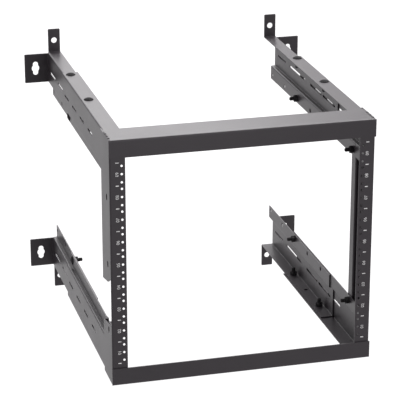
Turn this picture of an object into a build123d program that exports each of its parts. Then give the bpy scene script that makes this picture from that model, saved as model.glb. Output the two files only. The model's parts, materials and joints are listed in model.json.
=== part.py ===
from build123d import *
import os

os.makedirs("parts", exist_ok=True)

# Open-frame wall rack for 19-inch equipment, nine units high. The wall is the plane y = 0,
# the front faces -Y and +Z is up. The pieces are drawn about the middle of the rack and are
# moved at the end, so that the origin lies on the upper left wall tab. Distances called
# "from the front" are measured back from the face of the front bars.

# Equipment standard
unit_height = 44.45
rack_units = 9
unit_hole_offsets = (-15.875, 0.0, 15.875)
equipment_hole_diameter = 5.5

# Sheet and fits
sheet = 2.0
bend_radius = 1.0          # inside radius of every bend
nest_gap = 0.3             # between two sheets that are bolted flat together
side_gap = 0.5             # between the webs of a wall arm and its channel

# Overall sizes
overall_width = 514.0
frame_height = 489.0
overall_depth = 630.0
frame_depth = 455.0

# Front bars
bar_face_height = 34.5
bar_flange_depth = 68.0

# Channels: web outside, wide flange at the top (bottom for the lower pair), lip on the far side
channel_flange_width = 32.0
channel_web_height = 72.0
channel_lip_step = 11.0    # from the outside of the web to the inside of the lip
channel_lip_height = 25.8
channel_start = 6.0        # from the front

# Wall arms, which nest in the channels
arm_start = 203.0          # from the front
arm_flange_width = 26.7
arm_lip_set_back = 1.3     # the arm's lip is this much shorter than the channel's

# Wall tabs
side_tab_reach = 301.0     # from the centre plane
side_tab_margins = (2.2, 3.2)  # from the arm's narrow and wide flanges
side_tab_corner = 2.0
tab_overlap = 8.0          # straight run that each tab shares with its arm
end_tab_width = 25.0
end_tab_height = 48.8      # above the arm's wide flange
end_tab_hole_rise = 24.3
tab_hole_diameter = 12.0
keyhole_set_in = 23.0      # from the side tab's end to the middle of the keyhole
keyhole_diameter = 16.0
keyhole_slot_width = 11.0
keyhole_slot_length = 29.0

# Slots along the webs
web_slot_height = 5.0
web_slot_drop = 40.5       # below the top of the frame
channel_slot_length = 40.0
channel_slot_pitch = 76.2
channel_slot_count = 4
first_channel_slot = 184.4     # middle of the foremost slot, from the front
arm_slots = ((218.0, 296.0), (304.0, 378.0), (412.0, 520.0), (547.0, 606.0))

# Bolt stations along the arms, from the front
station_pitch = 88.9
first_station = 260.4
flange_stations = range(3)     # holes in the arm's wide flange
lip_stations = range(5)        # holes in the arm's lip
flange_bolt_stations = (0, 2)
lip_bolt_station = 2
bolt_line_set_in = 15.0        # from the free edge of the arm's wide flange
lip_bolt_drop = 15.0           # below the channel's narrow flange
front_bolt_depth = 89.0

# Carriage bolts and nuts
bolt_diameter = 8.0
bolt_head_diameter = 20.0
bolt_head_height = 4.2
bolt_neck_width = 8.0
bolt_hole_clearance = 1.0      # round holes, also the spare ones
neck_clearance = 0.4           # square holes
bolt_length = 20.5
nut_width = 13.0
nut_height = 6.5
nut_seat = 0.1

# Posts: the face carries the holes, the side runs back, the rear flange and lip stiffen it
post_inset = 1.0               # from the end of the bar in to the post's side
post_face_width = 30.0
hole_line_set_in = 23.45       # from the post's side, which puts the lines 465.1 mm apart
post_depth = 78.0
post_lip_depth = 21.0
post_end_gap = 1.0             # between the post's rear flange and the channel above it
post_corner_depth = 22.0       # the top of the post's face is cut away back to here
post_slot_height = 13.0
post_slot_width = 9.0
post_slot_depth = 29.0
post_slot_pitch = 3 * unit_height
post_slot_count = 3
post_slot_rise = 6.7           # from the tip of the lower channel's lip to the lowest slot
cut_margin = 1.0               # how far a cutter stands clear of what it cuts

# Cable window through the left post's side, open at the back
window_bottom = -124.0         # height of the lower edge at the front
window_top = -28.0             # height of the upper edge at the front
window_knee = (30.0, -43.0)    # from the front and height, where the upper edge turns
window_fall = 0.18             # both edges fall this much for each millimetre back
window_corner = 18.0

# Where the origin lies on the upper left wall tab, level with its keyhole
origin_set_in = 18.0

front = -overall_depth
half_height = frame_height / 2
post_side_face = overall_width / 2 - post_inset
channel_web_face = post_side_face - sheet - nest_gap
channel_lip_face = channel_web_face - channel_lip_step
arm_web_face = channel_web_face - sheet - side_gap
arm_lip_face = channel_lip_face - sheet - nest_gap
post_lip_face = channel_lip_face + sheet + nest_gap
arm_top = half_height - sheet - nest_gap
channel_ledge = half_height - channel_web_height      # outside of the channel's narrow flange
arm_ledge = channel_ledge + sheet + nest_gap          # the same on the wall arm
channel_lip_tip = channel_ledge - channel_lip_height
arm_flange_edge = arm_web_face - arm_flange_width
arm_lip_tip = channel_lip_tip + arm_lip_set_back
web_slot_level = half_height - web_slot_drop
bolt_line = arm_flange_edge + bolt_line_set_in
lip_bolt_height = channel_ledge - lip_bolt_drop
side_tab_heights = (arm_ledge + side_tab_margins[0], arm_top - side_tab_margins[1])
end_tab_edges = (arm_flange_edge, arm_flange_edge + end_tab_width)
keyhole_across = side_tab_reach - keyhole_set_in
keyhole_height = sum(side_tab_heights) / 2
post_inner_edge = post_side_face - post_face_width
hole_line = post_side_face - hole_line_set_in
lowest_post_slot = post_slot_rise - channel_lip_tip
bolt_hole_diameter = bolt_diameter + bolt_hole_clearance
neck_hole_side = bolt_neck_width + neck_clearance


def from_front(distance):
    return front + distance


def station(number):
    return from_front(first_station + number * station_pitch)


def sheet_section(points):
    """Closed outline of a folded sheet whose middle line runs through the points."""
    middle = FilletPolyline(*points, radius=bend_radius + sheet / 2).wires()[0]
    left = middle.offset_2d(sheet / 2, side=Side.LEFT, closed=False)
    right = middle.offset_2d(sheet / 2, side=Side.RIGHT, closed=False)
    ends = []
    for place in (0, 1):
        near = min((0, 1), key=lambda other: (left @ place - right @ other).length)
        ends.append(Edge.make_line(left @ place, right @ near))
    return Face(Wire(left.edges() + right.edges() + ends))


def along_y(face, start, end):
    """Extrude a section drawn as (x, z) from one y to another."""
    return extrude(Plane.XZ * face, amount=end - start).moved(Location((0, end, 0)))


def along_x(face, start, end):
    """Extrude a section drawn as (y, z) from one x to another."""
    return extrude(Plane.YZ * face, amount=end - start).moved(Location((start, 0, 0)))


def along_z(face, bottom, top):
    """Extrude a section drawn as (x, y) from one z to another."""
    return extrude(face, amount=top - bottom).moved(Location((0, 0, bottom)))


def block(x_span, y_span, z_span):
    size = [span[1] - span[0] for span in (x_span, y_span, z_span)]
    middle = [(span[1] + span[0]) / 2 for span in (x_span, y_span, z_span)]
    return Pos(*middle) * Box(*size)


def hole_x(x, y, z, diameter, length=6 * sheet):
    return Pos(x, y, z) * Rot(0, 90, 0) * Cylinder(diameter / 2, length)


def hole_y(x, y, z, diameter, length=6 * sheet):
    return Pos(x, y, z) * Rot(90, 0, 0) * Cylinder(diameter / 2, length)


def hole_z(x, y, z, diameter, length=6 * sheet):
    return Pos(x, y, z) * Cylinder(diameter / 2, length)


def web_slot(x, start, end):
    """Round-ended slot through a web, between two distances from the front."""
    outline = SlotOverall(end - start, web_slot_height)
    cutter = extrude(Plane.YZ * outline, amount=3 * sheet, both=True)
    return cutter.moved(Location((x, from_front((start + end) / 2), web_slot_level)))


def folded_channel(web_face, top, ledge, flange_edge, lip_face, lip_tip, start, end):
    """Web, wide flange, narrow flange and lip as one folded strip, on the +X side and upper level."""
    half = sheet / 2
    line = [
        (flange_edge, top - half),
        (web_face - half, top - half),
        (web_face - half, ledge + half),
        (lip_face + half, ledge + half),
        (lip_face + half, lip_tip),
    ]
    return along_y(sheet_section(line), start, end)


def make_channel():
    body = folded_channel(channel_web_face, half_height, channel_ledge,
                          channel_web_face - channel_flange_width, channel_lip_face, channel_lip_tip,
                          from_front(channel_start), from_front(frame_depth))
    for number in range(channel_slot_count):
        middle = first_channel_slot + number * channel_slot_pitch
        body -= web_slot(channel_web_face, middle - channel_slot_length / 2, middle + channel_slot_length / 2)
    for number in flange_bolt_stations:
        body -= (Pos(bolt_line, station(number), half_height)
                 * Box(neck_hole_side, neck_hole_side, 4 * sheet))
    body -= (Pos(channel_lip_face + sheet, station(lip_bolt_station), lip_bolt_height)
             * Box(4 * sheet, neck_hole_side, neck_hole_side))
    body -= hole_x(channel_lip_face, from_front(front_bolt_depth), lip_bolt_height, bolt_hole_diameter)
    return body


def make_frame():
    """One welded frame: the front bar with a channel at each end."""
    half = sheet / 2
    line = [
        (front + half, half_height - bar_face_height),
        (front + half, half_height - half),
        (from_front(bar_flange_depth), half_height - half),
    ]
    frame = along_x(sheet_section(line), -overall_width / 2, overall_width / 2)
    channel = make_channel()
    for side in (-1, 1):
        reach = sorted((side * channel_web_face, side * overall_width))
        frame -= block(reach, (front + sheet, 0), (half_height - bar_face_height, half_height + sheet))
        frame += channel if side > 0 else mirror(channel, about=Plane.YZ)
    return frame.solid()


def keyhole():
    """Round hole crossed by an upright slot, so the arm hangs from above or below."""
    return Circle(keyhole_diameter / 2) + Rot(0, 0, 90) * SlotOverall(keyhole_slot_length, keyhole_slot_width)


def make_wall_arm():
    half = sheet / 2
    bend_start = -(bend_radius + sheet)
    body = folded_channel(arm_web_face, arm_top, arm_ledge, arm_flange_edge, arm_lip_face, arm_lip_tip,
                          from_front(arm_start), bend_start)

    side_line = [(arm_web_face - half, bend_start - tab_overlap), (arm_web_face - half, -half),
                 (side_tab_reach, -half)]
    side_tab = along_z(sheet_section(side_line), *side_tab_heights)
    corners = side_tab.edges().filter_by(Axis.Y).group_by(Axis.X)[-1]
    side_tab = fillet(corners, side_tab_corner)
    side_tab -= extrude(Plane.XZ * keyhole(), amount=3 * sheet, both=True).moved(
        Location((keyhole_across, 0, keyhole_height)))

    end_line = [(bend_start - tab_overlap, arm_top - half), (-half, arm_top - half),
                (-half, arm_top + end_tab_height)]
    end_tab = along_x(sheet_section(end_line), *end_tab_edges)
    corners = end_tab.edges().filter_by(Axis.Y).group_by(Axis.Z)[-1]
    end_tab = fillet(corners, side_tab_corner)
    end_tab -= hole_y(sum(end_tab_edges) / 2, 0, arm_top + end_tab_hole_rise, tab_hole_diameter)

    body = body + side_tab + end_tab
    for start, end in arm_slots:
        body -= web_slot(arm_web_face, start, end)
    for number in flange_stations:
        body -= hole_z(bolt_line, station(number), arm_top, bolt_hole_diameter)
    for number in lip_stations:
        body -= hole_x(arm_lip_face, station(number), lip_bolt_height, bolt_hole_diameter)
    return body.solid()


def cable_window():
    """Cutter for the window, on the +X side: both edges fall towards the back, two corners are rounded."""
    start = from_front(2 * sheet + nest_gap + bend_radius)
    end = from_front(post_depth + post_lip_depth + cut_margin)
    knee_y, knee_z = from_front(window_knee[0]), window_knee[1]
    points = [
        (start, window_bottom - window_fall * (start - front)),
        (end, window_bottom - window_fall * (end - front)),
        (end, knee_z - window_fall * (end - knee_y)),
        (knee_y, knee_z),
        (start, window_top),
    ]
    outline = make_face(Polyline(*points, close=True))
    rounded = [outline.vertices().sort_by_distance(point)[0] for point in (points[0], points[3])]
    outline = fillet(rounded, window_corner)
    return along_x(outline, post_lip_face - cut_margin, post_side_face + cut_margin)


def make_post():
    half = sheet / 2
    face = front + sheet + nest_gap
    rear = from_front(post_depth)
    line = [
        (post_inner_edge, face + half),
        (post_side_face - half, face + half),
        (post_side_face - half, rear - half),
        (post_lip_face + half, rear - half),
        (post_lip_face + half, rear + post_lip_depth),
    ]
    post = along_z(sheet_section(line), -half_height, half_height)
    side_inside = post_side_face - sheet
    behind = (from_front(post_corner_depth), rear + post_lip_depth + cut_margin)
    for level in (-1, 1):
        # the face stops under the frame's flange
        over = sorted((level * (half_height - sheet - nest_gap), level * frame_height))
        post -= block((post_inner_edge - cut_margin, side_inside), (front, from_front(post_corner_depth)), over)
        # the rear flange and the lip stop under the channel's narrow flange
        over = sorted((level * (channel_ledge - post_end_gap), level * frame_height))
        post -= block((post_lip_face - cut_margin, side_inside), behind, over)
        post -= (Pos(post_lip_face + sheet, from_front(front_bolt_depth), level * lip_bolt_height)
                 * Box(4 * sheet, neck_hole_side, neck_hole_side))
    for unit in range(rack_units):
        middle = (unit - (rack_units - 1) / 2) * unit_height
        for offset in unit_hole_offsets:
            post -= hole_y(hole_line, face, middle + offset, equipment_hole_diameter)
    for number in range(post_slot_count):
        slot = Rot(0, 0, 90) * SlotOverall(post_slot_height, post_slot_width)
        cutter = extrude(Plane.YZ * slot, amount=2 * sheet, both=True)
        post -= cutter.moved(Location(
            (post_side_face, from_front(post_slot_depth), lowest_post_slot + number * post_slot_pitch)))
    return post.solid()


def carriage_bolt():
    """Domed head whose underside is z = 0, with the square neck and the shank below it."""
    rise = bolt_head_height
    radius = (bolt_head_diameter ** 2 / 4 + rise ** 2) / (2 * rise)
    dome = Pos(0, 0, rise - radius) * Sphere(radius)
    head = dome & (Pos(0, 0, rise / 2) * Cylinder(bolt_head_diameter / 2, rise))
    neck = Pos(0, 0, -sheet / 2) * Box(bolt_neck_width, bolt_neck_width, sheet)
    shank = Pos(0, 0, -bolt_length / 2) * Cylinder(bolt_diameter / 2, bolt_length)
    bolt = head + neck + shank
    return bolt.solid()


def hex_nut():
    """Nut whose seat is z = 0 and which stands down from it, bored to the bolt."""
    blank = extrude(RegularPolygon(nut_width / 2, 6, major_radius=False), amount=-nut_height)
    cone_height = nut_width
    bevel = Pos(0, 0, -nut_height) * Cone(nut_width / 2 * 1.02, nut_width / 2 * 1.02 + cone_height * 1.73,
                                         cone_height, align=(Align.CENTER, Align.CENTER, Align.MIN))
    blank = blank & bevel
    return (blank - Cylinder(bolt_diameter / 2, 4 * nut_height)).solid()


def place_corner(shape, side, level):
    """Carry a piece from the right-hand upper corner to one of the four corners."""
    if side == "left":
        shape = mirror(shape, about=Plane.YZ)
    if level == "lower":
        shape = mirror(shape, about=Plane.XY)
    return shape


to_origin = Location((keyhole_across - origin_set_in, 0, -keyhole_height))


def save(name, solids, colour):
    solids = [solid.moved(to_origin) for solid in solids]
    whole = solids[0] if len(solids) == 1 else Compound(label=name, children=solids)
    whole.label = name
    whole.color = Color(*colour)
    export_step(whole, f"parts/{name}.step")
    print(name, round(sum(s.volume for s in solids) / 1000, 2), "cm3", len(solids), "solid(s)")


powder_coat = (0.16, 0.16, 0.17)
black_zinc = (0.07, 0.07, 0.08)

frame = make_frame()
save("upper_frame", [frame], powder_coat)
save("lower_frame", [mirror(frame, about=Plane.XY)], powder_coat)
post = make_post()
windowed_post = (post - cable_window()).solid()
save("right_post", [post], powder_coat)
save("left_post", [mirror(windowed_post, about=Plane.YZ)], powder_coat)

arm = make_wall_arm()
bolt = carriage_bolt()
nut = hex_nut()
grip = 2 * sheet + nest_gap + nut_seat
flange_places = [Pos(bolt_line, station(number), half_height) for number in flange_bolt_stations]
lip_place = (Pos(channel_lip_face + sheet, station(lip_bolt_station), lip_bolt_height)
             * Rot(0, 90, 0))
front_place = (Pos(post_lip_face + sheet, from_front(front_bolt_depth), lip_bolt_height)
               * Rot(0, 90, 0))
down = Pos(0, 0, -grip)

for level in ("upper", "lower"):
    for side in ("left", "right"):
        corner = f"{level}_{side}"
        save(f"{corner}_wall_arm", [place_corner(arm, side, level)], powder_coat)
        groups = {
            "flange_bolts": [place * bolt for place in flange_places],
            "flange_nuts": [place * down * nut for place in flange_places],
            "lip_bolt": [lip_place * bolt],
            "lip_nut": [lip_place * down * nut],
            "front_bolt": [front_place * bolt],
            "front_nut": [front_place * down * nut],
        }
        for name, solids in groups.items():
            save(f"{corner}_{name}", [place_corner(solid, side, level) for solid in solids], black_zinc)
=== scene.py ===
# %% [markdown]
# # A wall mount rack in black powder coat
#
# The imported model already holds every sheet, bolt and nut at its true size. This notebook loads
# it, gives its surfaces their real finishes, adds what is too fine for the solid model, and
# sets up the light and the camera. Blender works in metres, so a millimetre gets a name first.

# %% Load the frame
import json
import math
import bpy
from mathutils import Matrix, Vector


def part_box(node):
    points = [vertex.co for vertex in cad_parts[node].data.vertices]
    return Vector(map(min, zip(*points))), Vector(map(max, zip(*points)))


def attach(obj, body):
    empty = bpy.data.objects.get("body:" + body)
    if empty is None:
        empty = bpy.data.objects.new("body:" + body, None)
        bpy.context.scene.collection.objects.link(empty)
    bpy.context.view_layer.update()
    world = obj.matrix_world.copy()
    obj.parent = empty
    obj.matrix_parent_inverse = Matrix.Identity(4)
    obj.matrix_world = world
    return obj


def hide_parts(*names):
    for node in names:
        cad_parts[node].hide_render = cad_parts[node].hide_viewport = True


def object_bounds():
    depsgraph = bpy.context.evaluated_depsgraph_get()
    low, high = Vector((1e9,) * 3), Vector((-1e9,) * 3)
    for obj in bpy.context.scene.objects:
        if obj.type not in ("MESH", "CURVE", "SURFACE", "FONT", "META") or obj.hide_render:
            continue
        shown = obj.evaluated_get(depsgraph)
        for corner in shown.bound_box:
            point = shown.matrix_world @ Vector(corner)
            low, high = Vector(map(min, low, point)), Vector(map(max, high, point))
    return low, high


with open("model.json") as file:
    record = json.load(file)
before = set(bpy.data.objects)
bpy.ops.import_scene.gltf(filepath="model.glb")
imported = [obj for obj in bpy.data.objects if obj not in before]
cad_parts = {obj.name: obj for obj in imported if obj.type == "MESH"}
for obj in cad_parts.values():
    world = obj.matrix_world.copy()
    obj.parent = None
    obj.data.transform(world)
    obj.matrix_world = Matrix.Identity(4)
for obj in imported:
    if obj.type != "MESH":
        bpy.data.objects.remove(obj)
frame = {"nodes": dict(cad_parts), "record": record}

mm = 0.001
cad_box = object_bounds()
nodes = frame["nodes"]
sides = {"left": -1, "right": 1}
levels = {"upper": 1, "lower": -1}
print("CAD box", [tuple(round(c, 4) for c in corner) for corner in cad_box])

# %% [markdown]
# ## Working as by hand
#
# Operators act on whatever is selected, and the loader leaves the CAD nodes selected. Each step
# below therefore starts by letting go of everything and picking one object. Code can only pick
# single vertices or faces in object mode, so the helper that does it leaves edit mode and comes
# back.

# %% Selection helpers
def pick(piece):
    if bpy.context.object and bpy.context.object.mode != "OBJECT":
        bpy.ops.object.mode_set(mode="OBJECT")
    bpy.ops.object.select_all(action="DESELECT")
    piece.select_set(True)
    bpy.context.view_layer.objects.active = piece
    return piece


def edit(piece, kind="VERT", select="SELECT"):
    pick(piece)
    bpy.ops.object.mode_set(mode="EDIT")
    bpy.ops.mesh.select_mode(type=kind)
    bpy.ops.mesh.select_all(action=select)


def leave():
    bpy.ops.object.mode_set(mode="OBJECT")


def edit_where(piece, kind, wanted):
    """Enter edit mode with only those vertices or faces picked that pass the test."""
    edit(piece, kind, "DESELECT")
    leave()
    parts = piece.data.polygons if kind == "FACE" else piece.data.vertices
    for part in parts:
        part.select = wanted(part)
    bpy.ops.object.mode_set(mode="EDIT")


def new_piece(name):
    piece = bpy.context.object
    piece.name = name
    piece.data.name = name
    return piece


# %% [markdown]
# What repeats is modelled once and then copied, each copy with a mesh of its own. A CAD node's
# object sits at the origin and its place is in its mesh, and the added pieces are kept the same
# way: a copy is turned and moved, and the move is then written into its vertices.

# %% Copying, placing and joining
def copy_of(piece, name):
    twin = piece.copy()
    twin.data = piece.data.copy()
    twin.name = name
    bpy.context.scene.collection.objects.link(twin)
    return twin


def place(piece, where, towards):
    """Turn the piece's own +Z towards a direction, move it and write the place into the mesh."""
    turn = towards.to_track_quat("Z", "Y").to_matrix().to_4x4()
    piece.matrix_world = Matrix.Translation(where) @ turn
    pick(piece)
    bpy.ops.object.transform_apply(location=True, rotation=True, scale=True)
    return piece


def join(name, parts):
    pick(parts[0])
    for part in parts:
        part.select_set(True)
    if len(parts) > 1:
        bpy.ops.object.join()
    return new_piece(name)


def drop(piece):
    bpy.data.objects.remove(piece)


# %% [markdown]
# ## Shader maths written as Python
#
# A finish is a small graph of nodes. Wrapping a socket in a class lets an expression such as
# `0.4 + 0.1 * grain` add the Math nodes itself, which reads far better than a list of links.
# One method makes every other node: its settings come first, then what feeds its sockets.

# %% Values and finishes
class Value:
    """What comes out of a node; Python's operators on it add Math nodes."""

    def __init__(self, finish, socket):
        self.finish = finish
        self.socket = socket

    def math(self, operation, first, second):
        return self.finish.node("ShaderNodeMath", {"operation": operation}, {0: first, 1: second})

    def __add__(self, other):
        return self.math("ADD", self, other)

    def __radd__(self, other):
        return self.math("ADD", other, self)

    def __sub__(self, other):
        return self.math("SUBTRACT", self, other)

    def __rsub__(self, other):
        return self.math("SUBTRACT", other, self)

    def __mul__(self, other):
        return self.math("MULTIPLY", self, other)

    def __rmul__(self, other):
        return self.math("MULTIPLY", other, self)


class Finish:
    """A material built around one Principled shader, with patterns fixed to the object."""

    def __init__(self, name):
        self.material = bpy.data.materials.new(name)
        self.material.use_nodes = True
        self.tree = self.material.node_tree
        self.shader = self.tree.nodes["Principled BSDF"]
        self.coordinates = self.node("ShaderNodeTexCoord", output="Object")

    def node(self, kind, settings=None, inputs=None, output=0):
        made = self.tree.nodes.new(kind)
        for key, setting in (settings or {}).items():
            if key == "stops":
                for element, (position, grey) in zip(made.color_ramp.elements, setting):
                    element.position = position
                    element.color = (grey, grey, grey, 1)
            else:
                setattr(made, key, setting)
        for key, value in (inputs or {}).items():
            self.feed(made.inputs[key], value)
        return Value(self, made.outputs[output])

    def feed(self, socket, value):
        if isinstance(value, Value):
            self.tree.links.new(value.socket, socket)
        else:
            socket.default_value = value

    def noise(self, size, detail=2.0):
        """Cloudy pattern whose blotches are about this many metres across."""
        return self.node("ShaderNodeTexNoise", None,
                         {"Vector": self.coordinates, "Scale": 1 / size, "Detail": detail})

    def ramp(self, value, *stops):
        """Value looked up on a ramp whose stops are pairs of position and grey."""
        return self.node("ShaderNodeValToRGB", {"stops": stops}, {0: value})

    def blend(self, factor, first, second):
        """Colour that goes from the first to the second as the factor goes from 0 to 1."""
        return self.node("ShaderNodeMix", {"data_type": "RGBA"},
                         {0: factor, 6: (*first, 1), 7: (*second, 1)}, output=2)

    def bump(self, height, depth, strength):
        return self.node("ShaderNodeBump", None,
                         {"Height": height, "Distance": depth, "Strength": strength})

    def surface(self, **inputs):
        for name, value in inputs.items():
            self.feed(self.shader.inputs[name.replace("_", " ").title().replace("Ior", "IOR")], value)
        print("finish", self.material.name, "with", len(self.tree.nodes), "nodes")
        return self.material


# %% [markdown]
# ## Black powder coat
#
# Powder is sprayed on dry and melts into one skin, so it is never quite flat: it keeps a soft
# orange peel about two millimetres across, and a much finer pitting, and both are a bump. The
# colour hardly changes, but the gloss drifts a little over a whole panel, and that is what the
# eye reads as baked paint. A coat this dark gets its light tones from what it reflects, so its
# roughness decides where a neighbouring tab or flange shows as a dark patch in it.

# %% Powder coat
peel_size = 2.2 * mm


def powder_coat_finish():
    finish = Finish("powder_coat")
    drift = finish.noise(90 * mm, detail=3.0)
    peel = finish.noise(peel_size)
    pits = finish.noise(0.45 * mm, detail=1.0)
    colour = finish.blend(drift, (0.0270, 0.0234, 0.0266), (0.0330, 0.0288, 0.0325))
    height = 0.75 * peel + 0.25 * pits
    return finish.surface(
        base_color=colour,
        specular_ior_level=0.34,
        specular_tint=(1.0, 0.98, 1.0, 1.0),
        roughness=0.31 + 0.08 * drift + 0.05 * pits,
        normal=finish.bump(height, 0.06 * mm, 0.55),
    )


powder_coat = powder_coat_finish()

# %% [markdown]
# ## Black zinc
#
# The bolts and nuts are zinc plated and dipped black, which leaves a thin, dull, dark film on
# metal. It mirrors less than the paint does, so a head stays a dark spot on a flange that shines.
# Faint spots rubbed in the plating barrel are smoother and let a little of the metal show.

# %% Black zinc
def black_zinc_finish():
    finish = Finish("black_zinc")
    rubbed = finish.ramp(finish.noise(3.0 * mm, detail=3.0), (0.52, 0.0), (0.72, 1.0))
    grain = finish.noise(0.3 * mm)
    colour = finish.blend(rubbed, (0.024, 0.0230, 0.024), (0.042, 0.0405, 0.042))
    return finish.surface(
        base_color=colour,
        metallic=0.15 * rubbed,
        specular_ior_level=0.03,
        roughness=0.58 + 0.12 * grain - 0.12 * rubbed,
        normal=finish.bump(grain, 0.02 * mm, 0.4),
    )


black_zinc = black_zinc_finish()

# %% [markdown]
# ## Screen-printed marks
#
# The unit numbers are printed with light grey ink. Ink lies on the peaks of the orange peel and
# thins out in its dips, so its colour is mixed down a little by the same noise as the coat's.

# %% Ink
def ink_finish():
    finish = Finish("marking_ink")
    peel = finish.noise(peel_size)
    cover = finish.ramp(peel, (0.30, 0.0), (0.62, 1.0))
    colour = finish.blend(cover, (0.40, 0.40, 0.40), (0.80, 0.80, 0.79))
    return finish.surface(
        base_color=colour,
        roughness=0.62 - 0.08 * cover,
        normal=finish.bump(peel, 0.03 * mm, 0.4),
    )


marking_ink = ink_finish()

# %% [markdown]
# ## Give the CAD nodes their finishes
#
# The record says which material slot each node has. The CAD meshes are never touched: only the
# material in each slot is swapped for the detailed one of the same name.

# %% Assign the finishes
finishes = {"powder_coat": powder_coat, "black_zinc": black_zinc}
for entry in frame["record"]["subparts"]:
    materials = nodes[entry["node"]].data.materials
    materials.clear()
    materials.append(finishes[entry["material_slot"]])

# %% [markdown]
# ## Carriage bolts with rolled threads
#
# A carriage bolt has a low domed head, a square neck that bites into the sheet, and a rolled
# thread. The solid model keeps the shank as a plain cylinder, because a cut helix would weigh
# down the collision model. Here one bolt is made in full, with its head's underside at z = 0,
# and each CAD bolt is replaced by a copy.
#
# The head is a sphere cut off by a plane. A lathed profile would do as well, but cutting keeps
# the crown exactly round with one operator.

# %% Bolt head
head_radius = 10 * mm
head_rise = 4.2 * mm
head_rim = 0.35 * mm
smooth_below = math.radians(40)
crown_radius = (head_radius ** 2 + head_rise ** 2) / (2 * head_rise)


def bolt_head():
    bpy.ops.mesh.primitive_uv_sphere_add(
        segments=40, ring_count=40, radius=crown_radius, location=(0, 0, head_rise - crown_radius))
    head = new_piece("bolt_head")
    pick(head)
    bpy.ops.object.transform_apply(location=True)
    edit(head)
    bpy.ops.mesh.bisect(plane_co=(0, 0, 0), plane_no=(0, 0, 1), clear_inner=True, use_fill=True)
    # the edge between the crown and the flat underside is rounded, as a forged rim is
    bpy.ops.mesh.bevel(offset=head_rim, segments=3, affect="EDGES")
    leave()
    pick(head)
    bpy.ops.object.shade_smooth_by_angle(angle=smooth_below)
    return head


# %% [markdown]
# The neck is a square block whose lower end is drawn in, as forging leaves it. The shank is a
# smooth core, and the thread is a triangular ridge wound round it: a three-sided profile swept
# by a Screw modifier, which turns and lifts it at once. Its two ends are then closed.

# %% Neck, core and thread
neck_width = 8 * mm
neck_depth = 2 * mm
neck_draw = 0.4 * mm
neck_tip = 0.35 * mm
shank_length = 20.5 * mm
point_chamfer = 0.8 * mm
thread_pitch = 1.25 * mm
thread_crest = 3.95 * mm
thread_root = 3.35 * mm
thread_end = 0.9 * mm
ridge_half_width = 0.45  # of the pitch
ridge_sink = 0.02 * mm  # how deep the ridge's foot lies in the metal
steps_to_a_turn = 20


def bolt_neck():
    bpy.ops.mesh.primitive_cube_add(size=1, location=(0, 0, 0))
    neck = new_piece("bolt_neck")
    neck.scale = (neck_width, neck_width, neck_depth)
    neck.location = (0, 0, -neck_depth / 2)
    pick(neck)
    bpy.ops.object.transform_apply(location=True, scale=True)
    edit_where(neck, "FACE", lambda face: face.normal.z < -0.9)
    bpy.ops.mesh.inset(thickness=neck_draw)
    bpy.ops.transform.translate(value=(0, 0, -neck_tip))
    bpy.ops.mesh.select_all(action="SELECT")
    bpy.ops.mesh.normals_make_consistent(inside=False)
    leave()
    return neck


def bolt_core():
    length = shank_length - neck_depth / 2
    bpy.ops.mesh.primitive_cylinder_add(
        vertices=32, radius=thread_root + ridge_sink, depth=length,
        location=(0, 0, -shank_length + length / 2))
    core = new_piece("bolt_core")
    pick(core)
    bpy.ops.object.transform_apply(location=True)
    edit_where(core, "VERT", lambda vertex: vertex.co.z < -shank_length / 2)
    bpy.ops.mesh.bevel(offset=point_chamfer, segments=1, affect="EDGES")
    leave()
    pick(core)
    bpy.ops.object.shade_smooth_by_angle(angle=smooth_below)
    return core


def wound_ridge(name, root, crest, pitch, turns, start):
    """Closed triangular ridge wound up the Z axis; with a crest smaller than its root it points inwards."""
    bpy.ops.mesh.primitive_circle_add(vertices=3, radius=1, location=(0, 0, 0))
    ridge = new_piece(name)
    corners = [(root, -ridge_half_width * pitch), (crest, 0.0), (root, ridge_half_width * pitch)]
    for vertex, (radius, height) in zip(ridge.data.vertices, corners):
        vertex.co = (radius, 0, start + height)
    screw = ridge.modifiers.new("wind", "SCREW")
    screw.axis = "Z"
    screw.angle = math.tau
    screw.screw_offset = pitch
    screw.iterations = turns
    screw.steps = steps_to_a_turn
    screw.render_steps = steps_to_a_turn
    screw.use_merge_vertices = False
    pick(ridge)
    bpy.ops.object.modifier_apply(modifier=screw.name)
    edit(ridge)
    bpy.ops.mesh.fill_holes(sides=4)
    bpy.ops.mesh.select_all(action="SELECT")
    bpy.ops.mesh.normals_make_consistent(inside=False)
    leave()
    return ridge


# %% [markdown]
# The thread starts a little above the shank's chamfered tip and stops short of the neck, where
# rolling dies run out too. Head, neck, core and thread then become one mesh, ready to be copied.

# %% Put one bolt together
thread_turns = round((shank_length - neck_depth - thread_end) / thread_pitch) - 1
thread = wound_ridge("bolt_thread", thread_root, thread_crest, thread_pitch, thread_turns,
                     -shank_length + thread_end)
bolt = join("bolt", [bolt_head(), bolt_neck(), bolt_core(), thread])
print("bolt", len(bolt.data.polygons), "faces", [round(d / mm, 2) for d in bolt.dimensions])

# %% [markdown]
# Where a bolt sits is read from its CAD node's box. The head's top touches one side of the box,
# so its seat lies one head height inside. A flange node holds two bolts in line, one at each
# end of its box.

# %% Replace the CAD bolts
def dressed(piece, finish):
    piece.data.materials.clear()
    piece.data.materials.append(finish)
    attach(piece, "root")
    return piece


def replace_bolts(node, outward, rows):
    low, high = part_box(node)
    middle = (low + high) / 2
    half_size = (high - low) / 2
    seat = middle + outward * (abs(half_size.dot(outward)) - head_rise)
    head_middles = [low.y + head_radius, high.y - head_radius][:rows]
    copies = []
    for number, y in enumerate(head_middles):
        where = Vector((seat.x, y, seat.z))
        copies.append(place(copy_of(bolt, f"{node}_{number}"), where, outward))
    piece = dressed(join(f"{node}_threaded", copies), black_zinc)
    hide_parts(node)
    print(piece.name, "at", [round(c, 4) for c in seat])


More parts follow.
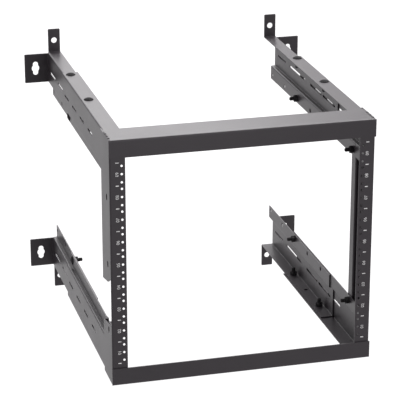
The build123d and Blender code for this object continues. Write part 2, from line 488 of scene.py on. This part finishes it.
for level, up in levels.items():
    for side, across in sides.items():
        corner = f"{level}_{side}"
        replace_bolts(f"{corner}_flange_bolts", Vector((0, 0, up)), 2)
        for kind in ("lip_bolt", "front_bolt"):
            replace_bolts(f"{corner}_{kind}", Vector((across, 0, 0)), 1)
drop(bolt)

# %% [markdown]
# ## Tapped equipment holes
#
# Each post has three tapped holes to the unit. The sheet is only two millimetres thick, so a
# hole holds not quite two turns of thread, and a ridge of a single turn fills it from face to
# face. It is wound with its crest inwards and copied to all the holes of a post. The unit height
# and the three places within a unit are the 19-inch standard's.

# %% Threads in the holes
unit_height = 44.45 * mm
units = 9
hole_offsets = (-15.875 * mm, 0.0, 15.875 * mm)
hole_radius = 2.75 * mm
hole_thread_depth = 0.62 * mm
hole_line = 465.1 * mm / 2
hole_pitch = 1.06 * mm
sheet = 2 * mm
left_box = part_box("left_post")
right_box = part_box("right_post")
rack_middle = Vector(((left_box[0].x + right_box[1].x) / 2, 0, (left_box[0].z + left_box[1].z) / 2))
post_face = left_box[0].y
hole_thread = wound_ridge("hole_thread", hole_radius + ridge_sink, hole_radius - hole_thread_depth,
                          hole_pitch, 1, hole_pitch / 2)
unit_middles = [rack_middle.z + (number - (units - 1) / 2) * unit_height for number in range(units)]
for side, across in sides.items():
    copies = []
    for middle in unit_middles:
        for offset in hole_offsets:
            where = Vector((rack_middle.x + across * hole_line, post_face + sheet, middle + offset))
            copies.append(place(copy_of(hole_thread, "thread"), where, Vector((0, -1, 0))))
    piece = dressed(join(f"{side}_post_threads", copies), powder_coat)
    print(piece.name, len(piece.data.polygons), "faces")
drop(hole_thread)

# %% [markdown]
# ## Unit numbers and ticks
#
# Outboard of the holes, each post carries a two-figure number at the middle of every unit and a
# short tick at every unit boundary. The numbers read upwards, so the text is turned a quarter
# turn. It is made a mesh first, as thick as the ink, and then laid on the face.

# %% Numbers and ticks
figure_height = 6.2 * mm
figure_share = 0.72  # how much of the font's size a figure stands tall
tick_length = 6.5 * mm
tick_width = 1.8 * mm
ink_thickness = 0.05 * mm
mark_line = 241.3 * mm


def lay_on_face(piece, x, z, upwards):
    """Stand a flat mesh drawn on the ground plane up against the posts' front face."""
    turn = Matrix.Rotation(math.radians(90), 4, "X")
    if upwards:
        turn = turn @ Matrix.Rotation(math.radians(90), 4, "Z")
    piece.matrix_world = Matrix.Translation((x, post_face - ink_thickness / 2, z)) @ turn
    pick(piece)
    bpy.ops.object.transform_apply(location=True, rotation=True, scale=True)
    return piece


def number_mark(number, x, z):
    bpy.ops.object.text_add(location=(0, 0, 0))
    text = bpy.context.object
    text.data.body = f"{number:02d}"
    text.data.align_x = "CENTER"
    text.data.align_y = "CENTER"
    text.data.size = figure_height / figure_share
    text.data.extrude = ink_thickness / 2
    text.data.resolution_u = 3
    pick(text)
    bpy.ops.object.convert(target="MESH")
    return lay_on_face(bpy.context.object, x, z, upwards=True)


def tick_mark(x, z):
    """A thin round disc whose two halves are pulled apart, so that its ends stay round."""
    bpy.ops.mesh.primitive_cylinder_add(
        vertices=20, radius=tick_width / 2, depth=ink_thickness, location=(0, 0, 0))
    tick = new_piece("tick")
    for end in (-1, 1):
        edit_where(tick, "VERT", lambda vertex: end * vertex.co.x > tick_width / 100)
        bpy.ops.transform.translate(value=(end * (tick_length - tick_width) / 2, 0, 0))
        leave()
    return lay_on_face(tick, x, z, upwards=False)


for side, across in sides.items():
    x = rack_middle.x + across * mark_line
    marks = [number_mark(number + 1, x, middle) for number, middle in enumerate(unit_middles)]
    marks += [tick_mark(x, middle - unit_height / 2) for middle in unit_middles]
    marks.append(tick_mark(x, unit_middles[-1] + unit_height / 2))
    piece = dressed(join(f"{side}_post_marks", marks), marking_ink)
    print(piece.name, len(piece.data.polygons), "faces")

# %% [markdown]
# ## Weld stitches
#
# The posts and the frames meet along the outer edge of each front corner, where a few short
# welds stand proud under the paint. A weld is a row of small puddles, each frozen over the one
# before. One puddle is a flattened ball with a cut underside, and an Array modifier lays a row.

# %% Weld stitches
weld_starts = (20 * mm, 34 * mm, 49 * mm)
weld_length = 9 * mm
weld_width = 4.2 * mm
weld_rise = 1.6 * mm
weld_sink = 0.25 * mm
puddle_step = 1.5 * mm
puddle_length = 3.6 * mm
weld_smooth_below = math.radians(50)


def weld_stitch():
    bpy.ops.mesh.primitive_uv_sphere_add(segments=20, ring_count=12, radius=0.5, location=(0, 0, 0))
    stitch = new_piece("weld_stitch")
    stitch.scale = (weld_width, puddle_length, 2 * weld_rise)
    pick(stitch)
    bpy.ops.object.transform_apply(scale=True)
    edit(stitch)
    bpy.ops.mesh.bisect(plane_co=(0, 0, -weld_sink), plane_no=(0, 0, 1), clear_inner=True, use_fill=True)
    leave()
    row = stitch.modifiers.new("row", "ARRAY")
    row.count = round(weld_length / puddle_step)
    row.use_relative_offset = False
    row.use_constant_offset = True
    row.constant_offset_displace = (0, puddle_step, 0)
    pick(stitch)
    bpy.ops.object.modifier_apply(modifier=row.name)
    bpy.ops.object.shade_smooth_by_angle(angle=weld_smooth_below)
    return stitch


stitch = weld_stitch()
frame_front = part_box("upper_frame")[0].y
for level, up in levels.items():
    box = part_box(f"{level}_frame")
    edge_height = box[1].z if up > 0 else box[0].z
    for side, across in sides.items():
        post_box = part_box(f"{side}_post")
        outer = post_box[0].x if across < 0 else post_box[1].x
        copies = []
        for start in weld_starts:
            where = Vector((outer - across * weld_width / 2, frame_front + start, edge_height))
            copies.append(place(copy_of(stitch, "stitch"), where, Vector((0, 0, up))))
        piece = dressed(join(f"{level}_{side}_welds", copies), powder_coat)
        print(piece.name, len(piece.data.polygons), "faces")
drop(stitch)

# %% [markdown]
# ## Floor, light and camera
#
# A dark satin coat shows its surroundings more than its own colour. The room is therefore plain
# white all round, so grazing faces pick up a soft grey and faces that look at the camera stay
# dark, as in a catalogue picture. The wide back panel is what the top flanges mirror, the floor
# panel keeps the far floor as white as the near one, the top panel rounds off the inner webs,
# and the small front panel lifts the faces turned to the camera a little. The room's white leans
# a touch to violet, as the webs in the picture do.

# %% Floor
floor_drop = 350 * mm
floor_size = 40
bpy.ops.mesh.primitive_plane_add(size=floor_size, location=(0, 0, cad_box[0].z - floor_drop))
floor = new_piece("studio_floor")
floor_finish = Finish("studio_floor")
floor.data.materials.append(floor_finish.surface(
    base_color=floor_finish.blend(floor_finish.noise(0.8), (0.53, 0.53, 0.53), (0.56, 0.56, 0.56)),
    roughness=0.9,
))

# %% Light
room_colour = (1.0, 0.96, 1.0, 1.0)
room_strength = 0.50
scene = bpy.context.scene
scene.view_settings.view_transform = "Standard"
room = bpy.data.worlds.new("studio_room")
room.use_nodes = True
background = room.node_tree.nodes["Background"]
background.inputs["Color"].default_value = room_colour
background.inputs["Strength"].default_value = room_strength
scene.world = room


def soft_panel(name, where, aim, width, height, power):
    """Rectangular light, in metres and watts, that stands at a place and faces another."""
    bpy.ops.object.light_add(type="AREA", location=where)
    panel = bpy.context.object
    panel.name = name
    panel.data.shape = "RECTANGLE"
    panel.data.size = width
    panel.data.size_y = height
    panel.data.energy = power
    panel.rotation_euler = (Vector(aim) - Vector(where)).to_track_quat("-Z", "Y").to_euler()
    print("panel", name, power, "W")


object_middle = (cad_box[0] + cad_box[1]) / 2
soft_panel("back_panel", (-0.45, 4.2, 2.2), object_middle, 5.0, 2.4, 112)
soft_panel("floor_panel", (1.3, 4.0, 3.4), (1.3, 4.0, 0), 5.6, 2.4, 205)
soft_panel("top_panel", (1.3, 0.5, 2.6), object_middle, 2.4, 2.4, 142)
soft_panel("front_panel", (0.6, -3.0, 0.2), object_middle, 1.2, 1.2, 17)

# %% [markdown]
# The camera's place and aim were worked out from the rack's edges and its hole pattern, whose
# real spacing is known. The picture itself is squeezed about nine percent in height, which a real
# lens can't do, so this is the nearest true view of the true sizes.

# %% Camera
camera_place = Vector((-684.2, -3872.8, 1124.0)) * mm
camera_heading = 14.83
camera_dip = 19.94
focal_pixels = 1925.7
image_pixels = 400
bpy.ops.object.camera_add(location=camera_place)
camera = bpy.context.object
camera.name = "catalogue_camera"
camera.rotation_euler = (math.radians(90 - camera_dip), 0, math.radians(-camera_heading))
camera.data.sensor_width = 36
camera.data.lens = focal_pixels * camera.data.sensor_width / image_pixels
scene.camera = camera
print("lens", round(camera.data.lens, 1), "mm")
